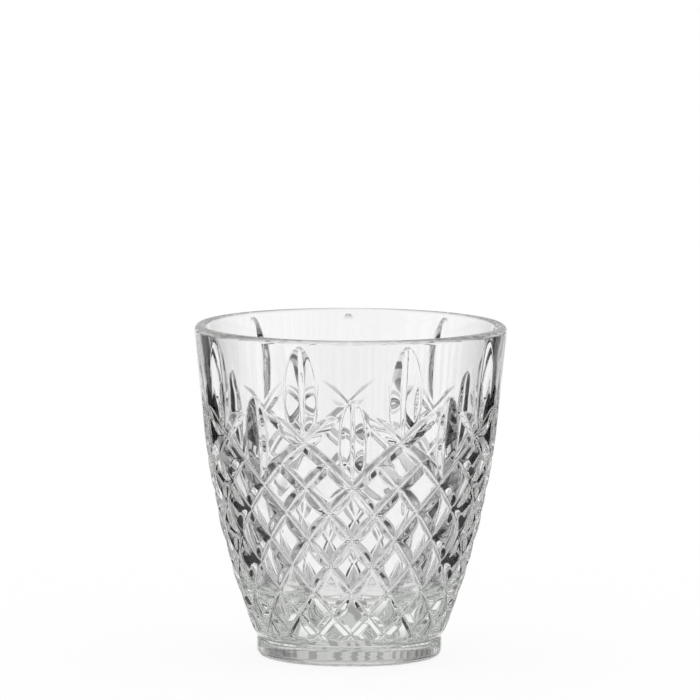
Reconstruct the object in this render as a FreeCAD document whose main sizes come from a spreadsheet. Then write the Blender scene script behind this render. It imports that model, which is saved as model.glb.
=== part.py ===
"""Whiskey tumbler in clear pressed glass, as one parametric FreeCAD body.

The glass is a single piece, so the model is a single PartDesign body:
  1. the blank, a revolved section: foot ring, curved bowl, straight wall, lip, tapered cavity;
  2. two rings of leaf cuts, each leaf the mark of a V-edged wheel, patterned round the axis;
  3. the diamond lattice: V grooves lofted over the bowl along two crossing families of lines.
Millimetres. +Z is up, and the origin is the centre of the face that the tumbler stands on.
"""

import FreeCAD, Part
import Sketcher
import math
import os

V = FreeCAD.Vector

# Driving dimensions, in mm, degrees or plain counts. Each goes into the sheet under its own name.
DIMENSIONS = {
    # outside of the blank
    "rim_diameter": 90.0,
    "total_height": 96.0,
    "lip_width": 3.1,
    "wall_lean": 5.7,  # of the straight wall, from upright
    "belt_height": 66.0,  # top of the diamonds, where the straight wall meets the bowl's curve
    "bowl_radius": 210.0,  # of the curved outline below the belt
    "shoulder_height": 8.0,  # where the bowl turns in to the neck
    "neck_diameter": 52.6,
    "neck_height": 6.0,
    "foot_diameter": 53.4,
    "foot_height": 5.3,
    "foot_round": 2.2,
    # under the foot
    "rest_diameter": 41.0,  # inside of the ring that touches the table
    "punt_diameter": 35.0,
    "punt_depth": 0.8,
    # cavity
    "floor_thickness": 19.0,
    "cavity_lean": 7.5,  # above the waist
    "waist_height": 62.0,  # where the cavity starts to draw in faster
    "lower_lean": 11.5,  # below the waist
    "cavity_round": 8.0,
    # diamond lattice
    "repeats": 9,  # of the whole ornament round the glass
    "lattice_foot": 9.4,  # height of the lowest crossings
    "row_easing": 0.048,  # how fast the rows close up away from the middle one
    "cut_share": 0.34,  # groove width over cell width
    "cut_slope": 33.0,  # of a groove's facet, from the surface
    "tail_rows": 1.35,  # how far a groove runs on past the belt
    # leaf cuts
    "wheel_radius": 55.0,
    "tall_leaf_height": 79.5,
    "tall_leaf_length": 27.5,
    "tall_leaf_width": 10.4,
    "low_leaf_height": 66.6,
    "low_leaf_length": 24.4,
    "low_leaf_width": 7.8,
}

ROWS = 8  # rows of crossings from the lattice's foot to the belt
ROUND_STEPS = {"lip": 6, "cavity": 4, "foot": 2}  # short tapers that each round is made of
CLEAR = 1.2  # how far a cutting tool stands out of the glass
WHEEL_SWEEP = 40.0  # degrees of the wheel's rim that a leaf cut uses, more than any leaf is long
NUDGE = 0.01  # rows or mm to each side, for a direction along a curve
THIN_END = 0.02  # what is left of a groove's depth at the tip of its tail
LOW_END = -0.5  # row below the neck, where the grooves run out
LONG_ROWS = (LOW_END, 1.0, 2.7, 4.4, 6.2)  # rows where a long groove has its sections, below the belt
SHORT_ROWS = (LOW_END, 1.0, 2.5, 4.0, 5.5)  # the same for a short groove

doc = FreeCAD.newDocument("tumbler")


class Size:
    """A size with its value and its formula in the sheet's names, so each formula is written once."""

    def __init__(self, value, text=None):
        self.value = value
        self.text = text or repr(value)

    def join(self, sign, other, value):
        return Size(value, "(%s %s %s)" % (self.text, sign, other.text))

    def __add__(self, other):
        other = size(other)
        return self.join("+", other, self.value + other.value)

    def __sub__(self, other):
        other = size(other)
        return self.join("-", other, self.value - other.value)

    def __mul__(self, other):
        other = size(other)
        return self.join("*", other, self.value * other.value)

    def __truediv__(self, other):
        other = size(other)
        return self.join("/", other, self.value / other.value)


def size(number):
    return number if isinstance(number, Size) else Size(number)


def cosine(angle):
    return Size(math.cos(math.radians(angle.value)), "cos(%s)" % angle.text)


def sine(angle):
    return Size(math.sin(math.radians(angle.value)), "sin(%s)" % angle.text)


def tangent(angle):
    return Size(math.tan(math.radians(angle.value)), "tan(%s)" % angle.text)


sheet = doc.addObject("Spreadsheet::Sheet", "dims")
for row, (name, value) in enumerate(DIMENSIONS.items(), start=1):
    sheet.set("A%d" % row, name)
    sheet.set("B%d" % row, repr(value))
    sheet.setAlias("B%d" % row, name)
doc.recompute()
D = {name: Size(float(sheet.get(name)), "dims.%s" % name) for name in DIMENSIONS}

# ---- the outline's key points, as radius and height ----
lip_radius = D["lip_width"] / 2
lip_height = D["total_height"] - lip_radius
rim_radius = D["rim_diameter"] / 2


def wall_radius(height):
    """The straight wall's outer radius at a height."""
    return rim_radius - (lip_height - height) * tangent(D["wall_lean"])


belt_radius = wall_radius(D["belt_height"])
bowl_axis_radius = belt_radius - D["bowl_radius"] * cosine(D["wall_lean"])
bowl_axis_height = D["belt_height"] + D["bowl_radius"] * sine(D["wall_lean"])


def glass_radius(height):
    """Outer radius of the blank at a height, above the shoulder."""
    if height >= D["belt_height"].value:
        return wall_radius(size(height)).value
    across = height - bowl_axis_height.value
    return bowl_axis_radius.value + math.sqrt(D["bowl_radius"].value ** 2 - across**2)


def round_corner(centre, radius, start, sweep, steps):
    """Corners of a round drawn as a few short tapers."""
    corners = []
    for k in range(steps + 1):
        angle = start + sweep * (k / steps)
        corners.append((centre[0] + radius * cosine(angle), centre[1] + radius * sine(angle)))
    return corners


body = doc.addObject("PartDesign::Body", "tumbler")
planes = {f.Role: f for f in body.Origin.OriginFeatures}


def add_sketch(name, plane, offset=FreeCAD.Placement()):
    sketch = body.newObject("Sketcher::SketchObject", name)
    sketch.AttachmentSupport = [(planes[plane], "")]
    sketch.MapMode = "FlatFace"
    sketch.AttachmentOffset = offset
    return sketch


def bind(sketch, kind, *args):
    """A constraint whose last argument is a Size, bound to the sheet."""
    index = sketch.addConstraint(Sketcher.Constraint(kind, *args[:-1], args[-1].value))
    sketch.setExpression("Constraints[%d]" % index, args[-1].text)


def fix_corner(sketch, line, x, y):
    """Holds the start of a line at x, y. A plain 0 puts it on the axis, and None leaves it free."""
    for kind, value, axis in (("DistanceX", x, -2), ("DistanceY", y, -1)):
        if isinstance(value, Size):
            bind(sketch, kind, -1, 1, line, 1, value)
        elif value == 0:
            sketch.addConstraint(Sketcher.Constraint("PointOnObject", line, 1, axis))


# ---- 1. the blank ----
cavity_radius = rim_radius - D["lip_width"]
waist_radius = cavity_radius - (lip_height - D["waist_height"]) * tangent(D["cavity_lean"])
nose_height = D["floor_thickness"] + D["cavity_round"]
nose_radius = (
    waist_radius
    - (D["waist_height"] - nose_height) * tangent(D["lower_lean"])
    - D["cavity_round"] / cosine(D["lower_lean"])
)
foot_radius = D["foot_diameter"] / 2
shoulder = (None, D["shoulder_height"])
belt = (belt_radius, D["belt_height"])
corners = [
    (0, D["punt_depth"]),
    (D["punt_diameter"] / 2, D["punt_depth"]),
    (D["rest_diameter"] / 2, 0),
]
corners += round_corner(
    (foot_radius - D["foot_round"], D["foot_round"]),
    D["foot_round"], size(-90.0), size(90.0), ROUND_STEPS["foot"],
)
corners[3] = (corners[3][0], 0)
corners += [
    (foot_radius, D["foot_height"]),
    (D["neck_diameter"] / 2, D["neck_height"]),
    shoulder,
    belt,
]
corners += round_corner(
    (rim_radius - lip_radius, lip_height),
    lip_radius, size(0.0), size(180.0), ROUND_STEPS["lip"],
)
corners.append((waist_radius, D["waist_height"]))
corners += round_corner(
    (nose_radius, nose_height),
    D["cavity_round"], size(0.0) - D["lower_lean"], D["lower_lean"] - 90.0, ROUND_STEPS["cavity"],
)
corners.append((0, D["floor_thickness"]))


def place_of(corner):
    x, z = corner
    z = size(z).value
    x = glass_radius(z) if x is None else size(x).value
    return V(x, z, 0)


outline = add_sketch("blank_outline", "XZ_Plane")
places = [place_of(corner) for corner in corners]
bowl = corners.index(shoulder)
for k, start in enumerate(places):
    end = places[(k + 1) % len(places)]
    if k == bowl:
        centre = V(bowl_axis_radius.value, bowl_axis_height.value, 0)
        circle = Part.Circle(centre, V(0, 0, 1), D["bowl_radius"].value)
        angles = [math.atan2(p.y - centre.y, p.x - centre.x) for p in (start, end)]
        outline.addGeometry(Part.ArcOfCircle(circle, *angles))
    else:
        outline.addGeometry(Part.LineSegment(start, end))
for k, corner in enumerate(corners):
    if k == bowl:
        outline.addConstraint(Sketcher.Constraint("Tangent", k, 2, k + 1, 1))
    else:
        outline.addConstraint(Sketcher.Constraint("Coincident", k, 2, (k + 1) % len(corners), 1))
for k, corner in enumerate(corners):
    fix_corner(outline, k, *corner)
bind(outline, "Radius", bowl, D["bowl_radius"])

blank = body.newObject("PartDesign::Revolution", "blank")
blank.Profile = outline
blank.ReferenceAxis = (outline, ["V_Axis"])
blank.Angle = 360.0
outline.Visibility = False
doc.recompute()
print("outline solve:", outline.solve(), "blank volume:", round(blank.Shape.Volume, 3))


def ring_of(cut, name):
    """Repeats a cut round the axis, and reports what the whole ring took off."""
    before = cut.BaseFeature.Shape.Volume
    ring = body.newObject("PartDesign::PolarPattern", name)
    ring.Originals = [cut]
    ring.Axis = (planes["Z_Axis"], [""])
    ring.Angle = 360.0
    ring.Occurrences = int(D["repeats"].value)
    ring.setExpression("Occurrences", D["repeats"].text)
    ring.Refine = False
    body.Tip = ring
    doc.recompute()
    print(name, "removed", round(before - ring.Shape.Volume, 3), "mm3")
    return ring


# ---- 2. leaf cuts, each the mark of a V-edged wheel held against the glass ----
FRONT = -90.0  # a low leaf faces -Y
HALF_REPEAT = size(180.0) / D["repeats"]


def leaf_ring(name, bearing, height, length, width):
    surface = wall_radius(height)
    depth = length * length / (D["wheel_radius"] * 8)
    fall = width * width / (surface * 8)  # of the round wall over half the leaf's width
    rise = depth + CLEAR
    spread = rise * width / ((depth - fall) * 2)
    stand_off = D["wheel_radius"] - depth
    lean = cosine(D["wall_lean"]), sine(D["wall_lean"])

    turn = FreeCAD.Rotation(V(0, 0, 1), bearing) * FreeCAD.Rotation(V(0, 1, 0), D["wall_lean"].value)
    out = surface + stand_off * lean[0]
    up = height - stand_off * lean[1]
    hub = FreeCAD.Rotation(V(0, 0, 1), bearing).multVec(V(out.value, 0, 0))
    edge = add_sketch(name + "_edge", "XY_Plane", FreeCAD.Placement(V(hub.x, hub.y, up.value), turn))
    near = size(0.0) - D["wheel_radius"]
    triangle = [(near, 0), (near + rise, spread), (near + rise, size(0.0) - spread)]
    spots = [V(size(x).value, size(y).value, 0) for x, y in triangle]
    for k in range(3):
        edge.addGeometry(Part.LineSegment(spots[k], spots[(k + 1) % 3]))
    for k in range(3):
        edge.addConstraint(Sketcher.Constraint("Coincident", k, 2, (k + 1) % 3, 1))
    for k, (x, y) in enumerate(triangle):
        fix_corner(edge, k, x, y)

    cut = body.newObject("PartDesign::Groove", name + "_cut")
    cut.Profile = edge
    cut.ReferenceAxis = (edge, ["V_Axis"])
    cut.Angle = WHEEL_SWEEP
    cut.Midplane = True
    cut.Refine = False
    edge.Visibility = False
    doc.recompute()
    return ring_of(cut, name + "_ring")


leaf_ring(
    "tall_leaf", FRONT + HALF_REPEAT.value,
    D["tall_leaf_height"], D["tall_leaf_length"], D["tall_leaf_width"],
)
leaf_ring("low_leaf", FRONT, D["low_leaf_height"], D["low_leaf_length"], D["low_leaf_width"])

# ---- 3. the diamond lattice ----
middle_height = (D["belt_height"].value + D["lattice_foot"].value) / 2
half_span = (D["belt_height"].value - D["lattice_foot"].value) / 2
half_rows = ROWS / 2
easing = D["row_easing"].value
row_step = half_span / half_rows + easing * half_rows**2
end_pitch = row_step - 3 * easing * half_rows**2  # height of a row at either end of the lattice
turn_step = HALF_REPEAT.value / 2  # degrees round the glass from one row to the next


def row_height(row):
    """Height of a row of crossings; the rows go straight on above the belt."""
    k = min(row, ROWS) - half_rows
    return middle_height + row_step * k - easing * k**3 + max(row - ROWS, 0.0) * end_pitch


def on_glass(row, hand, bearing):
    """Where a groove line that passes the belt at a bearing lies at a row."""
    angle = math.radians(bearing + hand * turn_step * (row - ROWS))
    height = row_height(row)
    radius = glass_radius(height)
    return V(radius * math.cos(angle), radius * math.sin(angle), height)


def groove_section(name, row, hand, bearing):
    """The V at one row: its point in the glass, its mouth CLEAR above it, its plane square to the line."""
    spot = on_glass(row, hand, bearing)
    along = (on_glass(row + NUDGE, hand, bearing) - on_glass(row - NUDGE, hand, bearing)).normalize()
    rise = (glass_radius(spot.z + NUDGE) - glass_radius(spot.z - NUDGE)) / (2 * NUDGE)
    radius = math.hypot(spot.x, spot.y)
    outward = V(spot.x / radius, spot.y / radius, -rise).normalize()
    across = outward.cross(along).normalize()
    placement = FreeCAD.Placement(spot, FreeCAD.Rotation(across, outward, along))

    # half the cell's width across the line, from its half diagonals
    inner = min(row, ROWS)
    level = row_height(inner)
    side = math.radians(turn_step) * glass_radius(level)
    upright = (row_step - 3 * easing * (inner - half_rows) ** 2) * math.hypot(1, rise)
    half_cell = side * upright / math.hypot(side, upright)
    fade = max(THIN_END, 1 - max(0.0, row - ROWS) / D["tail_rows"].value)
    depth = D["cut_share"] * tangent(D["cut_slope"]) * (half_cell * fade)
    spread = (depth + CLEAR) / tangent(D["cut_slope"])

    sketch = add_sketch(name, "XY_Plane", placement)
    triangle = [(0, size(0.0) - depth), (spread, size(CLEAR)), (size(0.0) - spread, size(CLEAR))]
    spots = [V(size(x).value, size(y).value, 0) for x, y in triangle]
    for k in range(3):
        sketch.addGeometry(Part.LineSegment(spots[k], spots[(k + 1) % 3]))
    for k in range(3):
        sketch.addConstraint(Sketcher.Constraint("Coincident", k, 2, (k + 1) % 3, 1))
    for k, (x, y) in enumerate(triangle):
        fix_corner(sketch, k, x, y)
    sketch.Visibility = False
    return sketch


def groove_ring(name, rows, hand, bearing):
    sections = [
        groove_section("%s_section_%d" % (name, k + 1), row, hand, bearing)
        for k, row in enumerate(rows)
    ]
    cut = body.newObject("PartDesign::SubtractiveLoft", name + "_cut")
    cut.Profile = sections[0]
    cut.Sections = [(section, [""]) for section in sections[1:]]
    cut.Ruled = False
    cut.Refine = False
    doc.recompute()
    return ring_of(cut, name + "_ring")


long_rows = LONG_ROWS + (ROWS, ROWS + D["tail_rows"].value)
short_rows = SHORT_ROWS + (ROWS - 1,)
for hand, side in ((1, "right"), (-1, "left")):
    groove_ring("long_%s" % side, long_rows, hand, FRONT + HALF_REPEAT.value)
    groove_ring("short_%s" % side, short_rows, hand, FRONT)

for item in doc.Objects:
    if "Invalid" in item.State or "Error" in item.State:
        raise RuntimeError("%s failed: %s" % (item.Name, item.State))
if body.Shape.isNull() or not body.Shape.isValid() or len(body.Shape.Solids) != 1:
    raise RuntimeError("the tumbler is not one valid solid")

os.makedirs("parts", exist_ok=True)
body.Label = "tumbler"
body.Shape.exportStep("parts/tumbler.step")
print("tumbler:", len(body.Shape.Faces), "faces,", round(body.Shape.Volume / 1000, 2), "cm3")
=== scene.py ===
"""Looks of the whiskey tumbler: pressed clear glass before a white backdrop, with a dark flag at each side.

Metres, +Z up, front is -Y."""

import math

import bpy
import numpy as np
from mathutils import Matrix, Quaternion, Vector


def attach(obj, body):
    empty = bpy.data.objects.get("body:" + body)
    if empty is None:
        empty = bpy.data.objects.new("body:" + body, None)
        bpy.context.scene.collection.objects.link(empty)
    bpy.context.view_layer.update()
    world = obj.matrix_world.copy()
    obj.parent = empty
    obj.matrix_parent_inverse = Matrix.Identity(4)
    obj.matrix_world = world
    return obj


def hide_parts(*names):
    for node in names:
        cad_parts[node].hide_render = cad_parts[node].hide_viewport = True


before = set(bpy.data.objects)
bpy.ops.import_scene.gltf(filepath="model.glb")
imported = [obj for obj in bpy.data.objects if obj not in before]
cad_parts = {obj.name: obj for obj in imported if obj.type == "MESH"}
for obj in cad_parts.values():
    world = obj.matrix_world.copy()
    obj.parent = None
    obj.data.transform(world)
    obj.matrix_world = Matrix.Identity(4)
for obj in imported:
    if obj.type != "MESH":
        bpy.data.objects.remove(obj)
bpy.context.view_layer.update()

MM = 0.001

# ---- sizes of the glass in mm and degrees: the CAD's, but for the leaves, tails and depth of the cuts ----
BELT_HEIGHT = 66.0
BELT_RADIUS = 42.15
WALL_LEAN = 5.7
BOWL_RADIUS = 210.0
CAVITY_LEAN = 7.5
CAVITY_RADIUS = 41.9  # at LIP_HEIGHT
LIP_HEIGHT = 94.45
LIP_ROUND = 1.55  # first guess, then settled by the two walls
WAIST_HEIGHT = 62.0
WAIST_ROUND = 200.0
LOWER_LEAN = 11.5
FLOOR_HEIGHT = 19.0
NOSE_ROUND = 8.0
TOP = 96.0
REPEATS = 9
ROWS = 8
LOW_ROW = 9.4
TAIL_ROWS = 1.25
TAIL_RISE = 1.2
TAIL_FADE = 1.5
TAIL_SPREAD = 0.8
ROW_EASING = 0.048
LEAVES = (  # turn steps from the front, height, length, width
    (2.0, 80.4, 27.6, 10.8),
    (0.0, 66.6, 24.8, 8.2),
)
NECK = 6.6  # where the patterned wall hands over to the foot
NECK_BLEND = 1.5  # height over which the pattern gives way to the neck
NECK_SWELL = 2.0
NECK_RADIUS, NECK_HEIGHT = 26.3, 6.0
NECK_FLARE = 0.75  # how fast the neck widens upwards
NECK_EDGE = 0.25
FLARE_END = (27.8, 8.0)
FOOT_RADIUS, FOOT_HEIGHT = 26.7, 5.2
RING_INSIDE = 20.5  # inner radius of the ring that the glass stands on
PUNT_RADIUS, PUNT_DEPTH = 17.5, 0.8

# the cuts, in mm and degrees; each shape is (level floor, straight from, hump, slope left at the edge)
GROOVE_DEPTH = 1.4
GROOVE_CELL = 5  # the cell size at which a groove has that depth
FLANK_SLOPE = 32.0
GROOVE_SHAPE = (0.0, 0.25, 0.0, 0.6)
PILLOW_SLOPE = 16.0
TOP_SWELL = 0.3  # share of a diamond's swell that is left at the lattice's two ends
LOW_SWELL_ROWS, HIGH_SWELL_ROWS = (0.5, 2.5), (4.5, 7.0)
CROSSING_FADE = 0.3  # rows over which every other tail ends past the zigzag
MERGE = 5.0
LEAF_DEPTH = 1.45
LEAF_SHAPE = (0.06, 0.2, 0.1, 0.3)
LEAF_BELLY = 0.5
LEAF_FADE = 0.62  # how soon a leaf gets shallow towards its tips
EASE_FROM = 0.75  # share of a cut's half width from which it eases into the wall

NUDGE = 0.01  # mm, for the slope of the wall
NORMAL_STEP = 2e-3  # rows and turn steps, for the normals
SECTION_SAMPLES = 4001
# where the mesh splits its cells upright, for the leaves: above a row, and near a low leaf above another
LEAF_ROWS, LOW_LEAF_ROWS, LOW_LEAF_HALF = 8, 5.5, 0.7
GRID_TOP = 13


slope_top = math.tan(math.radians(PILLOW_SLOPE))
flank_slope = math.tan(math.radians(FLANK_SLOPE))
lean = math.tan(math.radians(WALL_LEAN))
turn_step = math.radians(180.0 / REPEATS / 2)
bowl_axis_r = BELT_RADIUS - BOWL_RADIUS * math.cos(math.radians(WALL_LEAN))
bowl_axis_z = BELT_HEIGHT + BOWL_RADIUS * math.sin(math.radians(WALL_LEAN))
middle = (BELT_HEIGHT + LOW_ROW) / 2
row_step = (BELT_HEIGHT - LOW_ROW) / ROWS + ROW_EASING * (ROWS / 2) ** 2


def bowl_radius(z):
    """Radius of the smooth outside of the glass at a height."""
    arc = bowl_axis_r + np.sqrt(BOWL_RADIUS**2 - np.minimum(z - bowl_axis_z, 0.0) ** 2)
    wall = BELT_RADIUS + (z - BELT_HEIGHT) * lean
    return np.where(z < BELT_HEIGHT, arc, wall)


def wall_slope(z):
    """How fast the smooth outside widens with height."""
    return (bowl_radius(z + NUDGE) - bowl_radius(z - NUDGE)) / (2 * NUDGE)


def row_pitch(u):
    """Height from one row of crossings to the next."""
    k = np.minimum(u, ROWS) - ROWS / 2
    return row_step - 3 * ROW_EASING * k**2


def lattice_height(u):
    """Height of row u; the rows go straight on above the belt."""
    k = np.minimum(u, ROWS) - ROWS / 2
    above = np.maximum(u - ROWS, 0.0) * row_pitch(float(ROWS))
    return middle + row_step * k - ROW_EASING * k**3 + above


# the lip's round, tangent to the outer and the inner wall
cos_out, cos_in = math.cos(math.radians(WALL_LEAN)), math.cos(math.radians(CAVITY_LEAN))
lean_in = math.tan(math.radians(CAVITY_LEAN))
rim_out = BELT_RADIUS + (LIP_HEIGHT - BELT_HEIGHT) * lean
lip_round = LIP_ROUND
for _ in range(20):
    centre_z = TOP - lip_round
    out_at = rim_out + (centre_z - LIP_HEIGHT) * lean
    in_at = CAVITY_RADIUS + (centre_z - LIP_HEIGHT) * lean_in
    lip_round = (out_at - in_at) / (1 / cos_out + 1 / cos_in)
lip_centre = (out_at - lip_round / cos_out, TOP - lip_round)
WALL_TOP = lip_centre[1] - lip_round * math.sin(math.radians(WALL_LEAN))


def soft_max(a, b, k):
    """The greater of two, with the edge between them rounded over a band k wide."""
    near = np.maximum(k - np.abs(a - b), 0.0) / k
    return np.maximum(a, b) + near**2 * k / 4


def soft_min(a, b, k):
    """The lesser of two, with the edge between them rounded over a band k wide."""
    return -soft_max(-a, -b, k)


def smooth(x, low, high):
    """0 below low, 1 above high, smooth between."""
    x = np.clip((x - low) / (high - low), 0.0, 1.0)
    return x * x * (3 - 2 * x)


def make_section(floor, turn, hump, edge):
    """A cut's section as (x, depth): level to x = floor, its flank straight from x = turn but for a hump,
    easing off to the share edge of its slope where it meets the wall at x = 1."""
    x = np.linspace(0.0, 1.0, SECTION_SAMPLES)
    easing = 1 - (1 - edge) * smooth(x, EASE_FROM, 1.0)
    steepness = smooth(x, floor, turn) * (1 + 4 * hump * x * (1 - x)) * easing
    fall = np.concatenate([[0.0], np.cumsum((steepness[1:] + steepness[:-1]) / 2)])
    return x, 1 - fall / fall[-1]


LEAF_SECTION = make_section(*LEAF_SHAPE)
GROOVE_SECTION = make_section(*GROOVE_SHAPE)


def groove_depth(u, t):
    """Depth of the diamond lattice below the smooth wall, at row u and turn step t.

    Inside the lattice the diamonds swell between their grooves; above its zigzag top the wall stays plain."""
    z = lattice_height(u)
    radius = bowl_radius(z)
    rise = wall_slope(z)
    side = turn_step * radius
    upright = row_pitch(u) * np.hypot(1, rise)
    cell = side * upright / np.hypot(side, upright)
    tail = np.clip((u - ROWS) / TAIL_ROWS, 0.0, 1.0)
    inside = u < ROWS - np.abs(np.mod(t, 4) - 2)
    near_end = smooth(u, *HIGH_SWELL_ROWS) + 1 - smooth(u, *LOW_SWELL_ROWS)
    swell = slope_top * cell / 2 * (1 - (1 - TOP_SWELL) * near_end)
    bottom = GROOVE_DEPTH * cell / GROOVE_CELL
    end = 1 - tail**TAIL_FADE
    reach = bottom / flank_slope * np.sqrt(end + 1e-6) * (1 + TAIL_SPREAD * tail)
    dome, total = 0.0, 0.0
    for line, along in ((u - t, u + t), (u + t, u - t)):
        number = np.round(line / 2)
        dist = np.abs(line - 2 * number) * cell
        past = along - 2 * (ROWS - 1) + 2 * number
        keep = np.where(np.mod(number, 2) == 0, 1 - smooth(past, 0.0, CROSSING_FADE), 1.0)
        dome = dome + swell * np.maximum(1 - dist / cell, 0.0) ** 2
        cut = bottom * end * keep * np.interp(dist / reach, *GROOVE_SECTION)
        total = total + cut**MERGE
    total = total + np.where(inside, dome, 0.0) ** MERGE
    return total ** (1 / MERGE) - (1 - smooth(z, NECK, NECK + NECK_BLEND)) * NECK_SWELL


def leaf_depth(z, t):
    """Depth of the leaf cuts."""
    best = 0.0
    for start, height, length, width in LEAVES:
        turn = (t - start + 2) % 4 - 2
        across = bowl_radius(z) * turn * turn_step
        along = (z - height) / math.cos(math.radians(WALL_LEAN))
        fade = np.maximum(1 - (2 * along / length) ** 2, 1e-9)
        spread = 2 * np.abs(across) / (width * fade**LEAF_BELLY)
        best = np.maximum(best, LEAF_DEPTH * fade**LEAF_FADE * np.interp(spread, *LEAF_SECTION))
    return best


def grid_height(u):
    """Height of the mesh's row u: the lattice's own rows, with even steps above and below them."""
    tail_end = ROWS + 1.0
    top = lattice_height(np.minimum(u, tail_end))
    spare = WALL_TOP - float(lattice_height(np.array(tail_end)))
    top = top + np.maximum(u - tail_end, 0.0) * spare / (GRID_TOP - tail_end)
    low = LOW_ROW + u * (LOW_ROW - NECK)
    return np.where(u < 0, low, top)


def lattice_row(z, u):
    """Row of the lattice at a height: u itself, except where the mesh's rows are spaced otherwise."""
    above = ROWS + (z - BELT_HEIGHT) / (row_pitch(float(ROWS)) * TAIL_RISE)
    k = (z - LOW_ROW) / row_pitch(0.0)
    return np.where(z > BELT_HEIGHT, above, np.where(z < LOW_ROW, k, u))


def outer_point(u, t):
    """A point of the patterned outside, in mm, for mesh row u and turn step t."""
    z = grid_height(u)
    row = lattice_row(z, u)
    cuts = groove_depth(row, t)
    leaf = leaf_depth(z, t)
    both = (np.maximum(cuts, 0) ** MERGE + leaf**MERGE) ** (1 / MERGE)
    depth = np.where(cuts > 0, both, leaf)
    rise = wall_slope(z)
    radius = bowl_radius(z) - depth * np.hypot(1, rise)
    taper = NECK_RADIUS + NECK_FLARE * (z - NECK_HEIGHT)
    radius = soft_min(radius, taper, NECK_EDGE)
    angle = t * turn_step - math.pi / 2
    return np.stack([radius * np.cos(angle), radius * np.sin(angle), z], axis=-1)


def outer_normal(u, t):
    """The outside's normal, from points a small step to each side."""
    du = outer_point(u + NORMAL_STEP, t) - outer_point(u - NORMAL_STEP, t)
    dt = outer_point(u, t + NORMAL_STEP) - outer_point(u, t - NORMAL_STEP)
    n = np.cross(dt, du)
    return n / np.linalg.norm(n, axis=-1, keepdims=True)


# ---- mesh of the patterned wall, on a net whose threads run along the grooves ----
HALF_KNOTS = (0.0, 0.06, 0.12, 0.19, 0.27, 0.35, 0.43, 0.52, 0.61, 0.7, 0.8, 0.9)
knots = list(HALF_KNOTS) + [1.0] + [2.0 - k for k in reversed(HALF_KNOTS[1:])]
N = len(knots)
knots = np.array(knots)
AROUND = REPEATS * 2 * N


def knot(i):
    """Where thread i runs, in steps from crossing to crossing."""
    return 2.0 * np.floor_divide(i, N) + knots[np.mod(i, N)]


first, last = -N, GRID_TOP * N
i_grid, s_grid = np.meshgrid(np.arange(AROUND), np.arange(first, last + 1), indexing="ij")
p, q = knot(i_grid), knot(s_grid - i_grid)
U, T = (p + q) / 2, (q - p) / 2
wall_points = outer_point(U, T)
wall_normals = outer_normal(U, T)
LEVELS = last - first + 1


def index(i, s):
    """Vertex number of thread i at level s; threads wrap round the glass."""
    turns = np.floor_divide(i, AROUND)
    return (i - turns * AROUND) * LEVELS + (s - first)


tris = []
i_all = np.arange(AROUND)
for s in range(first - 1, last):
    a, b, c, d = (i_all, s), (i_all + 1, s + 1), (i_all + 1, s + 2), (i_all, s + 1)
    if s < first:
        tris.append(np.stack([index(*c), index(*b), index(*d)], axis=-1))
    elif s == last - 1:
        tris.append(np.stack([index(*b), index(*a), index(*d)], axis=-1))
    else:
        ia, ib, ic, id_ = index(*a), index(*b), index(*c), index(*d)
        pm = (knot(i_all) + knot(i_all + 1)) / 2
        qm = (knot(s - i_all) + knot(s - i_all + 1)) / 2
        dp, dq = pm - 2 * np.round(pm / 2), qm - 2 * np.round(qm / 2)
        um, tm = (pm + qm) / 2, (qm - pm) / 2
        low_leaf = np.abs((tm + 2) % 4 - 2) < LOW_LEAF_HALF
        leafy = (um > LEAF_ROWS) | ((um > LOW_LEAF_ROWS) & low_leaf)
        upright = (dp * dq > 0) | leafy
        tris.append(np.stack([ib, ia, np.where(upright, ic, id_)], axis=-1))
        tris.append(np.stack([ic, np.where(upright, ia, ib), id_], axis=-1))
tris = np.concatenate(tris)


# ---- rounds of revolution: lip, cavity, foot ----
def arc(centre, radius, start, end, steps, inside=False):
    """Points and outward normals of a round, angles in degrees."""
    out = []
    for k in range(steps + 1):
        a = math.radians(start + (end - start) * k / steps)
        c, s = math.cos(a), math.sin(a)
        sign = -1 if inside else 1
        out.append((centre[0] + radius * c, centre[1] + radius * s, sign * c, sign * s))
    return out


def corner(before, at, after, radius, steps):
    """A rounded corner of an outline that runs with the glass on its right."""
    before, at, after = Vector(before), Vector(at), Vector(after)
    a, b = (at - before).normalized(), (after - at).normalized()
    turn = a.x * b.y - a.y * b.x
    angle = math.atan2(turn, a.dot(b))
    reach = radius * abs(math.tan(angle / 2))
    start = at - a * reach
    side = 1 if turn > 0 else -1
    centre = start + Vector((-a.y, a.x)) * radius * side
    out = []
    for k in range(steps + 1):
        spin = Matrix.Rotation(angle * k / steps, 2)
        v = spin @ (start - centre)
        n = -(v / radius) * side
        out.append((centre.x + v.x, centre.y + v.y, n.x, n.y))
    return out


# outside down to the table and in to the axis; the glass lies to the right of the way down
foot_way = [
    FLARE_END, (NECK_RADIUS, NECK_HEIGHT), (FOOT_RADIUS, FOOT_HEIGHT), (FOOT_RADIUS, 0.0),
    (RING_INSIDE, 0.0), (PUNT_RADIUS, PUNT_DEPTH), (0.0, PUNT_DEPTH),
]
# radius and steps of each corner between
foot_rounds = [(0.55, 6), (0.5, 5), (2.2, 9), (0.5, 4), (1.2, 4)]


def flipped(points):
    """The same outline with its normals turned round."""
    return [(x, z, -nx, -nz) for x, z, nx, nz in points]


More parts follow.
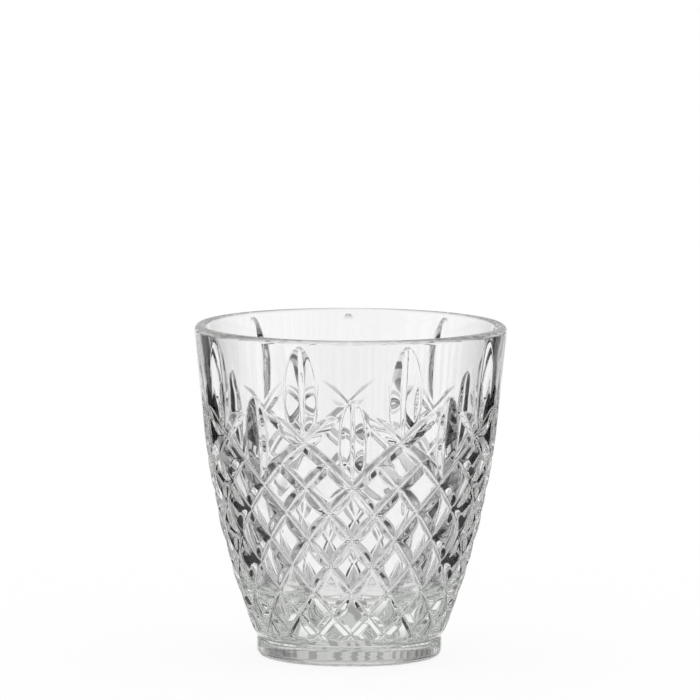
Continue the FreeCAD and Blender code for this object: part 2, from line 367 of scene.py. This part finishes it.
foot = []
for k, (radius, steps) in enumerate(foot_rounds):
    foot += corner(foot_way[k], foot_way[k + 1], foot_way[k + 2], radius, steps)
lip = arc(lip_centre, lip_round, -WALL_LEAN, 180 - CAVITY_LEAN, 22)
nose_z = FLOOR_HEIGHT + NOSE_ROUND
waist = (CAVITY_RADIUS - (LIP_HEIGHT - WAIST_HEIGHT) * lean_in, WAIST_HEIGHT)
lower = math.radians(LOWER_LEAN)
nose_r = waist[0] - (WAIST_HEIGHT - nose_z) * math.tan(lower) - NOSE_ROUND / math.cos(lower)
nose = arc((nose_r, nose_z), NOSE_ROUND, -LOWER_LEAN, -90, 20, inside=True)
inner = lip[1:]
inner += flipped(corner(inner[-1][:2], waist, nose[0][:2], WAIST_ROUND, 16))
inner += nose
inner += [(nose_r * f, FLOOR_HEIGHT, 0.0, 1.0) for f in (0.7, 0.4, 0.15)]

points = [wall_points.reshape(-1, 3)]
normals = [wall_normals.reshape(-1, 3)]
count = points[0].shape[0]


def ring_angles(s):
    """Bearings at which the threads meet level s."""
    i = np.arange(AROUND)
    t = (knot(s - i) - knot(i)) / 2
    return t * turn_step - math.pi / 2


def add_rings(profile, base, angles, outward_first):
    """Rings of a profile, each sewn to the one before it, closed by a fan on the axis."""
    global count
    before = base
    nxt = np.roll(np.arange(AROUND), -1)
    for r, z, nr, nz in profile:
        points.append(np.stack([r * np.cos(angles), r * np.sin(angles), np.full(AROUND, z)], axis=-1))
        normals.append(np.stack([nr * np.cos(angles), nr * np.sin(angles), np.full(AROUND, nz)], axis=-1))
        ring = count + np.arange(AROUND)
        count += AROUND
        quads = [before, before[nxt], ring[nxt], ring]
        if not outward_first:
            quads = quads[::-1]
        a, b, c, d = quads
        faces.append(np.stack([a, b, c], axis=-1))
        faces.append(np.stack([a, c, d], axis=-1))
        before = ring
    z, nz = profile[-1][1], profile[-1][3]
    points.append(np.array([[0.0, 0.0, z]]))
    normals.append(np.array([[0.0, 0.0, nz]]))
    fan = [before, before[nxt], np.full(AROUND, count)]
    if not outward_first:
        fan = fan[::-1]
    faces.append(np.stack(fan, axis=-1))
    count += 1


faces = [tris]
top_ring = index(np.arange(AROUND), np.full(AROUND, last))
low_ring = index(np.arange(AROUND), np.full(AROUND, first))
add_rings(inner, top_ring, ring_angles(last), False)
add_rings(foot, low_ring, ring_angles(first), True)

points = np.concatenate(points) * MM
normals = np.concatenate(normals)
faces = np.concatenate(faces)

mesh = bpy.data.meshes.new("tumbler_glass")
mesh.vertices.add(len(points))
mesh.vertices.foreach_set("co", points.astype(np.float32).ravel())
mesh.loops.add(len(faces) * 3)
mesh.loops.foreach_set("vertex_index", faces.astype(np.int32).ravel())
mesh.polygons.add(len(faces))
mesh.polygons.foreach_set("loop_start", np.arange(0, len(faces) * 3, 3, dtype=np.int32))
mesh.update(calc_edges=True)
mesh.validate()
mesh.polygons.foreach_set("use_smooth", np.ones(len(faces), dtype=bool))
mesh.normals_split_custom_set_from_vertices(normals.astype(np.float32).tolist())
glass = bpy.data.objects.new("tumbler_glass", mesh)
bpy.context.scene.collection.objects.link(glass)
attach(glass, "root")
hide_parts("tumbler")


# ---- glass material ----
def new_material(name):
    material = bpy.data.materials.new(name)
    material.use_nodes = True
    material.node_tree.nodes.clear()
    return material, material.node_tree.nodes, material.node_tree.links


material, nodes, links = new_material("pressed_glass")
out = nodes.new("ShaderNodeOutputMaterial")
shader = nodes.new("ShaderNodeBsdfPrincipled")
shader.inputs["Base Color"].default_value = (1.0, 1.0, 1.0, 1.0)
shader.inputs["Transmission Weight"].default_value = 1.0
shader.inputs["IOR"].default_value = 1.52
coords = nodes.new("ShaderNodeTexCoord")
ripple = nodes.new("ShaderNodeTexNoise")
ripple.inputs["Scale"].default_value = 90.0
ripple.inputs["Detail"].default_value = 1.0
links.new(coords.outputs["Object"], ripple.inputs["Vector"])
bump = nodes.new("ShaderNodeBump")
bump.inputs["Strength"].default_value = 0.06
bump.inputs["Distance"].default_value = 0.001
links.new(ripple.outputs["Fac"], bump.inputs["Height"])
links.new(bump.outputs["Normal"], shader.inputs["Normal"])
haze = nodes.new("ShaderNodeMapRange")
haze.inputs["To Min"].default_value = 0.0
haze.inputs["To Max"].default_value = 0.02
links.new(ripple.outputs["Fac"], haze.inputs["Value"])
links.new(haze.outputs["Result"], shader.inputs["Roughness"])
links.new(shader.outputs["BSDF"], out.inputs["Surface"])
absorb = nodes.new("ShaderNodeVolumeAbsorption")
absorb.inputs["Color"].default_value = (0.91, 0.94, 0.90, 1.0)
absorb.inputs["Density"].default_value = 9.0
links.new(absorb.outputs["Volume"], out.inputs["Volume"])
mesh.materials.append(material)

# ---- stage ----
FLOOR_HALF = 6.0
FLOOR_WHITE_SHARE = 0.88  # how much of the floor the camera sees as plain white, the rest keeps the shadow
scene = bpy.context.scene
scene.view_settings.view_transform = "Standard"
scene.cycles.max_bounces = 32
scene.cycles.transmission_bounces = 32
scene.cycles.glossy_bounces = 16
scene.cycles.transparent_max_bounces = 16

floor_mesh = bpy.data.meshes.new("floor")
floor_corners = [(x * FLOOR_HALF, y * FLOOR_HALF, 0) for x, y in ((-1, -1), (1, -1), (1, 1), (-1, 1))]
floor_mesh.from_pydata(floor_corners, [], [(0, 1, 2, 3)])
floor = bpy.data.objects.new("floor", floor_mesh)
floor.location.z = -0.0001
floor.visible_glossy = False
floor.visible_transmission = False
scene.collection.objects.link(floor)
material, nodes, links = new_material("floor_white")
out = nodes.new("ShaderNodeOutputMaterial")
mix = nodes.new("ShaderNodeMixShader")
diffuse = nodes.new("ShaderNodeBsdfDiffuse")
diffuse.inputs["Color"].default_value = (0.98, 0.98, 0.98, 1.0)
glow = nodes.new("ShaderNodeEmission")
glow.inputs["Strength"].default_value = 1.0
path = nodes.new("ShaderNodeLightPath")
share = nodes.new("ShaderNodeMath")
share.operation = "MULTIPLY"
links.new(path.outputs["Is Camera Ray"], share.inputs[0])
share.inputs[1].default_value = FLOOR_WHITE_SHARE
links.new(share.outputs[0], mix.inputs["Fac"])
links.new(diffuse.outputs["BSDF"], mix.inputs[1])
links.new(glow.outputs["Emission"], mix.inputs[2])
links.new(mix.outputs["Shader"], out.inputs["Surface"])
floor_mesh.materials.append(material)

# The studio that the glass shows, as for any bright-field picture of glass: a white backdrop, a black flag
# at each side of it, a soft light in front of each flag and a dim room behind the camera. Bearings are in
# degrees from straight behind the glass. No card is brighter than plain white.
BACKDROP = 20
FLAG = (25, 75)
SOFT_LIGHT = (90, 130)
ROOM = 150
WHITE, GREY, DIM, BLACK = 0.95, 0.6, 0.3, 0.0
FRONT = ((SOFT_LIGHT[0], 1.0), (SOFT_LIGHT[1], 1.0), (ROOM, GREY), (180, 0.5))
UNDER = ((0, WHITE), (FLAG[0], GREY), (45, DIM), (FLAG[1], DIM), (SOFT_LIGHT[0], GREY), (180, GREY))
LOW = ((0, WHITE), (BACKDROP, WHITE), (FLAG[0], BLACK), (FLAG[1], BLACK)) + FRONT
HIGH = ((0, GREY), (BACKDROP, GREY), (35, DIM), (50, DIM), (60, WHITE), (FLAG[1], WHITE)) + FRONT
# each row: the height in degrees over the horizon where it starts, where it is in full, and its lights
STUDIO = ((-25, -20, LOW), (-2, 4, HIGH))

STRIPE_SCALE = 5.0
STRIPE_DARK = 0.2
STRIPE_BRIGHT = 1.0
STRIPE_EDGES = (0.2, 0.55)
STRIPE_CENTRE = 18.0  # degrees under the horizon of the middle of the clean backdrop
STRIPE_START = (10.5, 13.0)  # how far from there they start and are in full, in steps of two degrees
STEEP, STEEP_SHARE = (-40.0, -30.0), 0.3  # the stripes are faint where one looks steeply down
HORIZON, HIGH_SHARE = (-2.0, 3.0), 0.5  # and fainter above the horizon

world = bpy.data.worlds.new("studio")
scene.world = world
world.use_nodes = True
nodes, links = world.node_tree.nodes, world.node_tree.links
background = nodes["Background"]
background.inputs["Color"].default_value = (1.0, 1.0, 1.0, 1.0)
background.inputs["Strength"].default_value = 1.0


def math_node(kind, *values):
    """A Math node's output; each value is a number or another socket."""
    node = nodes.new("ShaderNodeMath")
    node.operation = kind
    for socket, value in zip(node.inputs, values):
        if isinstance(value, (int, float)):
            socket.default_value = value
        else:
            links.new(value, socket)
    return node.outputs[0]


def between(value, low, high):
    """0 below low, 1 above high, smooth between."""
    node = nodes.new("ShaderNodeMapRange")
    node.interpolation_type = "SMOOTHSTEP"
    links.new(value, node.inputs["Value"])
    node.inputs["From Min"].default_value = low
    node.inputs["From Max"].default_value = high
    return node.outputs["Result"]


def row_of_lights(bearing, stops):
    """Brightness along a row of lights, straight between its stops; bearing is 1 at 180 degrees."""
    ramp = nodes.new("ShaderNodeFloatCurve")
    curve = ramp.mapping.curves[0]
    ramp.mapping.use_clip = False
    for k, (angle, level) in enumerate(stops):
        if k < 2:
            curve.points[k].location = (angle / 180, level)
        else:
            curve.points.new(angle / 180, level)
    for point in curve.points:
        point.handle_type = "VECTOR"
    ramp.mapping.update()
    links.new(bearing, ramp.inputs["Value"])
    return ramp.outputs["Value"]


def blend(lower, upper, share):
    """From lower to upper as share goes from 0 to 1; each is a float or a socket."""
    node = nodes.new("ShaderNodeMix")
    for socket, value in zip((node.inputs[2], node.inputs[3]), (lower, upper)):
        if isinstance(value, float):
            socket.default_value = value
        else:
            links.new(value, socket)
    links.new(share, node.inputs[0])
    return node.outputs[0]


coords = nodes.new("ShaderNodeTexCoord")
split = nodes.new("ShaderNodeSeparateXYZ")
links.new(coords.outputs["Generated"], split.inputs[0])
bearing = math_node("ABSOLUTE", math_node("ARCTAN2", split.outputs["X"], split.outputs["Y"]))
bearing = math_node("DIVIDE", bearing, math.pi)
elevation = math_node("DEGREES", math_node("ARCSINE", split.outputs["Z"]))
level = row_of_lights(bearing, UNDER)
for start, full, stops in STUDIO:
    level = blend(level, row_of_lights(bearing, stops), between(elevation, start, full))
# the room's own shapes, as wavy stripes away from the clean backdrop straight behind the glass
wave = nodes.new("ShaderNodeTexWave")
wave.bands_direction = "DIAGONAL"
wave.inputs["Scale"].default_value = STRIPE_SCALE
wave.inputs["Distortion"].default_value = 5.0
wave.inputs["Detail Scale"].default_value = 1.0
links.new(coords.outputs["Generated"], wave.inputs["Vector"])
aside = math_node("MULTIPLY", bearing, 90.0)
under = math_node("MULTIPLY", math_node("ADD", elevation, STRIPE_CENTRE), 0.5)
squares = [math_node("MULTIPLY", way, way) for way in (aside, under)]
away = math_node("SQRT", math_node("ADD", *squares))
steep = blend(STEEP_SHARE, 1.0, between(elevation, *STEEP))
strength = blend(steep, HIGH_SHARE, between(elevation, *HORIZON))
stripes = blend(STRIPE_DARK, STRIPE_BRIGHT, between(wave.outputs["Fac"], *STRIPE_EDGES))
covered = math_node("MULTIPLY", between(away, *STRIPE_START), strength)
level = math_node("MULTIPLY", level, blend(1.0, stripes, covered))
seen = nodes.new("ShaderNodeLightPath")
by_glass = math_node("MAXIMUM", seen.outputs["Is Glossy Ray"], seen.outputs["Is Transmission Ray"])
links.new(blend(1.0, level, by_glass), background.inputs["Strength"])

# ---- camera ----
PX_PER_MM = 3.475
DISTANCE = 2.65
ELEVATION = 7.3
SIDEWAYS = 0.95
ROLL = 0.29
HALF_HEIGHT = 0.048
SENSOR = 36.0
PICTURE_WIDTH = 700
target = Vector((-0.0002, 0.0, 0.0885))
height = HALF_HEIGHT + DISTANCE * math.tan(math.radians(ELEVATION))
camera_data = bpy.data.cameras.new("camera")
camera = bpy.data.objects.new("camera", camera_data)
scene.collection.objects.link(camera)
side = math.radians(SIDEWAYS)
camera.location = (-DISTANCE * math.sin(side), -DISTANCE * math.cos(side), height)
look = target - camera.location
camera.rotation_mode = "QUATERNION"
camera.rotation_quaternion = look.to_track_quat("-Z", "Y") @ Quaternion((0, 0, 1), math.radians(ROLL))
camera_data.sensor_width = SENSOR
camera_data.lens = PX_PER_MM * 1000 * look.length * SENSOR / PICTURE_WIDTH
camera_data.clip_end = 30.0
scene.camera = camera
